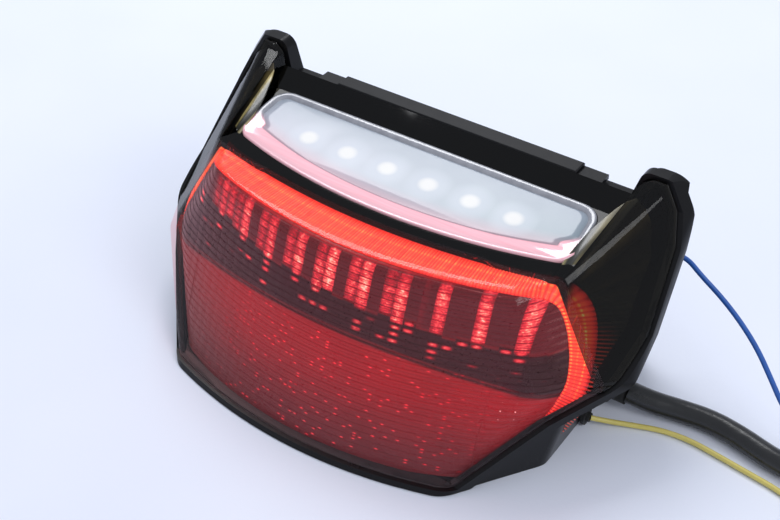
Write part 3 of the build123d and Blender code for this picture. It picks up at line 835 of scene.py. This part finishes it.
def window_pieces():
    outer = window_ring(0.0)
    frontness = np.clip((9.0 - outer[:, 1] + 0.0021 * outer[:, 0] ** 2) / 7.0, 0, 1)
    frontness = frontness**2 * (3 - 2 * frontness)
    wide = 3.6 + 5.4 * frontness
    profile = [(0.05, -2.2), (0.05, 0.35), (0.35, 0.8), (0.9, 1.0), (1.6, 0.98)]
    rings, shares = [], []
    for inset, height in profile:
        ring = window_ring(inset)
        rings.append(np.c_[ring, strip_height(ring[:, 1]) + height])
        shares.append(np.full(len(ring), 0.1))
    for share in (0.25, 0.5, 0.75, 0.92, 1.0):
        ring = window_ring(1.6 + (wide - 1.6) * share)
        dip = 0.98 - 0.75 * share**1.4 - 0.2 * (share > 0.9)
        rings.append(np.c_[ring, strip_height(ring[:, 1]) + dip])
        shares.append(np.full(len(ring), share))
    ring = window_ring(wide)
    rings.append(np.c_[ring, strip_height(ring[:, 1]) - 2.2])
    shares.append(np.full(len(ring), 1.0))
    points = np.array(rings)
    count = points.shape[1]
    faces = grid_faces(len(rings), count, close=True)
    last = (len(rings) - 1) * count
    faces += [(last + j, last + (j + 1) % count, (j + 1) % count, j) for j in range(count)]
    rim = mesh_object(
        "window_rim", points.reshape(-1, 3), faces,
        attributes={"inward": np.array(shares).ravel(), "front": np.tile(frontness, len(rings))},
    )
    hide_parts("plate_window")
    look = Look("window_rim")
    x, y, _, p = look.place()
    front = look.attribute("front")
    inward = look.attribute("inward")
    # painted glow: the rim's front is tinted pink as if lit by the lamp's red light, and the whole rim
    # is given a faint emission
    streak = look.noise(look.vector(look.mul(x, 0.05), y), 0.8, 3)
    pink = look.mix(streak, (0.93, 0.36, 0.42), (1.0, 0.62, 0.68))
    grey = look.mix(look.noise(p, 0.3, 3), (0.16, 0.165, 0.19), (0.34, 0.35, 0.39))
    tone_and_glow = look.mix(look.mul(front, look.step(inward, 0.0, 0.5, 0.75, 1.0)), grey, pink)
    look.surface(
        Base_Color=tone_and_glow,
        Roughness=0.14,
        Emission_Color=tone_and_glow,
        Emission_Strength=0.05,
        Coat_Weight=0.6,
        Coat_Roughness=0.04,
        Normal=look.bump(look.noise(p, 0.5, 2), 0.15, 0.1 * MM),
    )
    rim.data.materials.append(look.mat)

    edge = window_ring(wide + 0.05)
    centre = np.array([0, 20.0])
    rings = []
    for share in np.linspace(1.0, 0.0, 26):
        flat = centre + (edge - centre) * share
        rings.append(np.c_[flat, strip_height(flat[:, 1]) + 0.02 + 0.28 * (1 - share**4)])
    rings = [rings[0] - np.array([0, 0, 2.0])] + rings
    points = np.array(rings[:-1]).reshape(-1, 3)
    points = np.concatenate([points, rings[-1][:1], rings[0].mean(0, keepdims=True)])
    layers = len(rings) - 1
    faces = grid_faces(layers, count, close=True)
    tip, base = layers * count, layers * count + 1
    inner = (layers - 1) * count
    faces += [(inner + j, inner + (j + 1) % count, tip) for j in range(count)]
    faces += [((j + 1) % count, j, base) for j in range(count)]
    panel = mesh_object("window_panel", points, faces)
    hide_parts("plate_diffuser")
    look = Look("window_panel")
    x, y, z, p = look.place()
    place = look.math("ABSOLUTE", look.sub(look.math("FRACT", look.mul(x, 1 / WINDOW_LED_PITCH)), 0.5))
    across = look.mul(place, WINDOW_LED_PITCH)
    inside = look.step(look.math("ABSOLUTE", x), 59.0, 61.0, 1.0, 0.0)
    dy = look.sub(y, 18.4)
    far_across = look.math("POWER", look.mul(across, 1 / 4.6), 2.0)
    far_along = look.math("POWER", look.mul(look.math("ABSOLUTE", dy), 1 / 4.0), 2.0)
    r2 = look.add(far_across, far_along)
    spot = look.mul(look.step(r2, 0.15, 1.25, 1.0, 0.0), inside)
    halo = look.mul(look.step(r2, 0.5, 7.0, 1.0, 0.0), inside)
    mist = look.noise(p, 0.06, 3)
    base = look.mix(look.step(x, -70.0, 78.0), (0.66, 0.70, 0.84), (0.42, 0.53, 0.62))
    base = look.mix(look.step(look.madd(mist, 6.0, y), 20.0, 40.0), base, (0.44, 0.52, 0.64))
    pinkness = look.step(look.madd(look.mul(x, x), -0.0019, y), 2.0, 12.0, 0.62, 0.0)
    base = look.mix(pinkness, base, (0.95, 0.50, 0.60))
    base = look.mix(look.mul(halo, 0.42), base, (0.78, 0.86, 1.0))
    base = look.mix(spot, base, (1.0, 1.0, 1.0))
    look.surface(
        Base_Color=look.mix(0.3, (0, 0, 0), base),
        Roughness=look.madd(mist, 0.15, 0.3),
        Emission_Color=base,
        Emission_Strength=0.29,
        Coat_Weight=0.35,
        Coat_Roughness=0.12,
        Normal=look.bump(look.noise(p, 1.5, 3), 0.15, 0.05 * MM),
    )
    panel.data.materials.append(look.mat)


window_pieces()

# ---------------------------------------------------------------- clear and smoked lens shells
look = Look("red_lens_skin")
p = look.place()[3]
look.clear_surface(
    look.mix(look.noise(p, 0.05, 2), (0.97, 0.80, 0.80), (0.99, 0.86, 0.86)),
    look.madd(look.noise(p, 0.4, 4), 0.05, 0.02),
)
use("red_lens", look.mat)

look = Look("smoke_lens_skin")
x, y, z, p = look.place()
panel_side = look.step(look.math("ABSOLUTE", x), 84.0, 88.0)
smoke = look.mix(look.noise(p, 0.05, 2), (0.42, 0.40, 0.34), (0.50, 0.47, 0.40))
look.clear_surface(
    look.mix(panel_side, (0.03, 0.028, 0.026), smoke),
    look.madd(look.noise(p, 0.4, 4), 0.04, 0.02),
)
use("smoke_lens", look.mat)

# ---------------------------------------------------------------- carried-over CAD nodes
black = plastic(
    "housing_black", (0.003, 0.003, 0.004), (0.007, 0.007, 0.008), 0.3, 2.2, 0.02, specular=0.2
)
satin = plastic(
    "bar_black", (0.004, 0.004, 0.005), (0.009, 0.009, 0.010), 0.35, 2.0, 0.03, specular=0.25
)
rubber = plastic("rubber_black", (0.006, 0.006, 0.006), (0.014, 0.014, 0.014), 0.62, 1.5, 0.05)
sealant = plastic("sealant", (0.008, 0.008, 0.009), (0.02, 0.02, 0.022), 0.4, 0.8, 0.1)
chrome = plastic("reflector", (0.62, 0.62, 0.64), (0.80, 0.80, 0.82), 0.15, 1.0, 0.02, metallic=1.0)
board = plastic("board", (0.01, 0.05, 0.02), (0.02, 0.09, 0.035), 0.45, 1.0, 0.03)
steel = plastic("screw_steel", (0.35, 0.35, 0.36), (0.6, 0.6, 0.62), 0.3, 1.5, 0.02, metallic=1.0)
brass = plastic("brass", (0.45, 0.30, 0.10), (0.68, 0.48, 0.18), 0.3, 2.0, 0.03, metallic=1.0)
chip = plastic("chip", (0.008, 0.008, 0.009), (0.02, 0.02, 0.022), 0.5, 3.0, 0.02)
# The tray is a white moulding, made dark here as painted shade, because it shows in the gap at the
# window's corners.
tray = plastic("tray_white", (0.05, 0.05, 0.055), (0.10, 0.10, 0.11), 0.5, 1.0, 0.02)
nylon = plastic("connector", (0.010, 0.010, 0.011), (0.022, 0.022, 0.024), 0.45, 1.8, 0.04)
clear_boot = plastic("bullet_sleeve", (0.35, 0.35, 0.36), (0.5, 0.5, 0.5), 0.25, 1.0, 0.03, coat=0.3)
led_red = plastic("led_red", (0.5, 0.1, 0.1), (0.7, 0.2, 0.2), 0.2, 2.0, 0.02, coat=0.5)
led_amber = plastic("led_amber", (0.6, 0.3, 0.05), (0.8, 0.45, 0.1), 0.2, 2.0, 0.02, coat=0.5)
led_white = plastic("led_white", (0.7, 0.7, 0.5), (0.85, 0.85, 0.7), 0.2, 2.0, 0.02, coat=0.5)

for name, material in {
    "housing": black, "tongue_bar": satin, "lens_sealant": sealant, "main_reflector": chrome,
    "turn_reflector_left": chrome, "turn_reflector_right": chrome, "main_led_board": board,
    "turn_board_left": board, "turn_board_right": board, "plate_led_board": board,
    "red_leds": led_red, "amber_leds_left": led_amber, "amber_leds_right": led_amber,
    "plate_leds": led_white, "board_screws": steel, "resistors": chip, "driver_chips": chip,
    "plate_tray": tray, "mounting_inserts": brass, "harness_grommet": rubber,
    "yellow_grommet": rubber, "blue_grommet": rubber, "harness_connector": nylon,
    "connector_terminals": brass, "yellow_bullet": clear_boot, "blue_bullet": clear_boot,
}.items():
    use(name, material)

# ---------------------------------------------------------------- floor, light
floor_mesh = bpy.data.meshes.new("floor")
floor_mesh.from_pydata([(-3, -3, 0), (3, -3, 0), (3, 3, 0), (-3, 3, 0)], [], [(0, 1, 2, 3)])
floor = bpy.data.objects.new("floor", floor_mesh)
floor.location.z = -0.0002
scene.collection.objects.link(floor)
look = Look("floor_paper")
p = look.place()[3]
pores = look.cells(p, 0.45)
look.surface(
    Base_Color=look.mix(look.noise(p, 0.008, 2), (0.74, 0.78, 0.90), (0.82, 0.85, 0.94)),
    Roughness=0.85,
    Normal=look.bump(pores, 0.25, 0.1 * MM),
)
floor_mesh.materials.append(look.mat)

world = bpy.data.worlds.new("studio")
world.use_nodes = True
world.node_tree.nodes["Background"].inputs[0].default_value = (0.86, 0.90, 1.0, 1)
world.node_tree.nodes["Background"].inputs[1].default_value = 0.62
scene.world = world


def area_light(name, place, target, size, power, colour=(1, 1, 1)):
    data = bpy.data.lights.new(name, "AREA")
    data.shape = "RECTANGLE"
    data.size, data.size_y = size
    data.energy = power
    data.color = colour
    lamp = bpy.data.objects.new(name, data)
    scene.collection.objects.link(lamp)
    lamp.location = place
    lamp.rotation_euler = (Vector(target) - Vector(place)).to_track_quat("-Z", "Y").to_euler()


area_light("key", (-0.5, 0.55, 1.1), (0, 0, 0.04), (0.7, 0.5), 9.0, (0.97, 0.98, 1.0))
area_light("fill", (0.9, -0.2, 0.8), (0.02, 0, 0.04), (0.6, 0.6), 4.0, (0.97, 0.98, 1.0))

scene.view_settings.view_transform = "Standard"
scene.view_settings.look = "None"
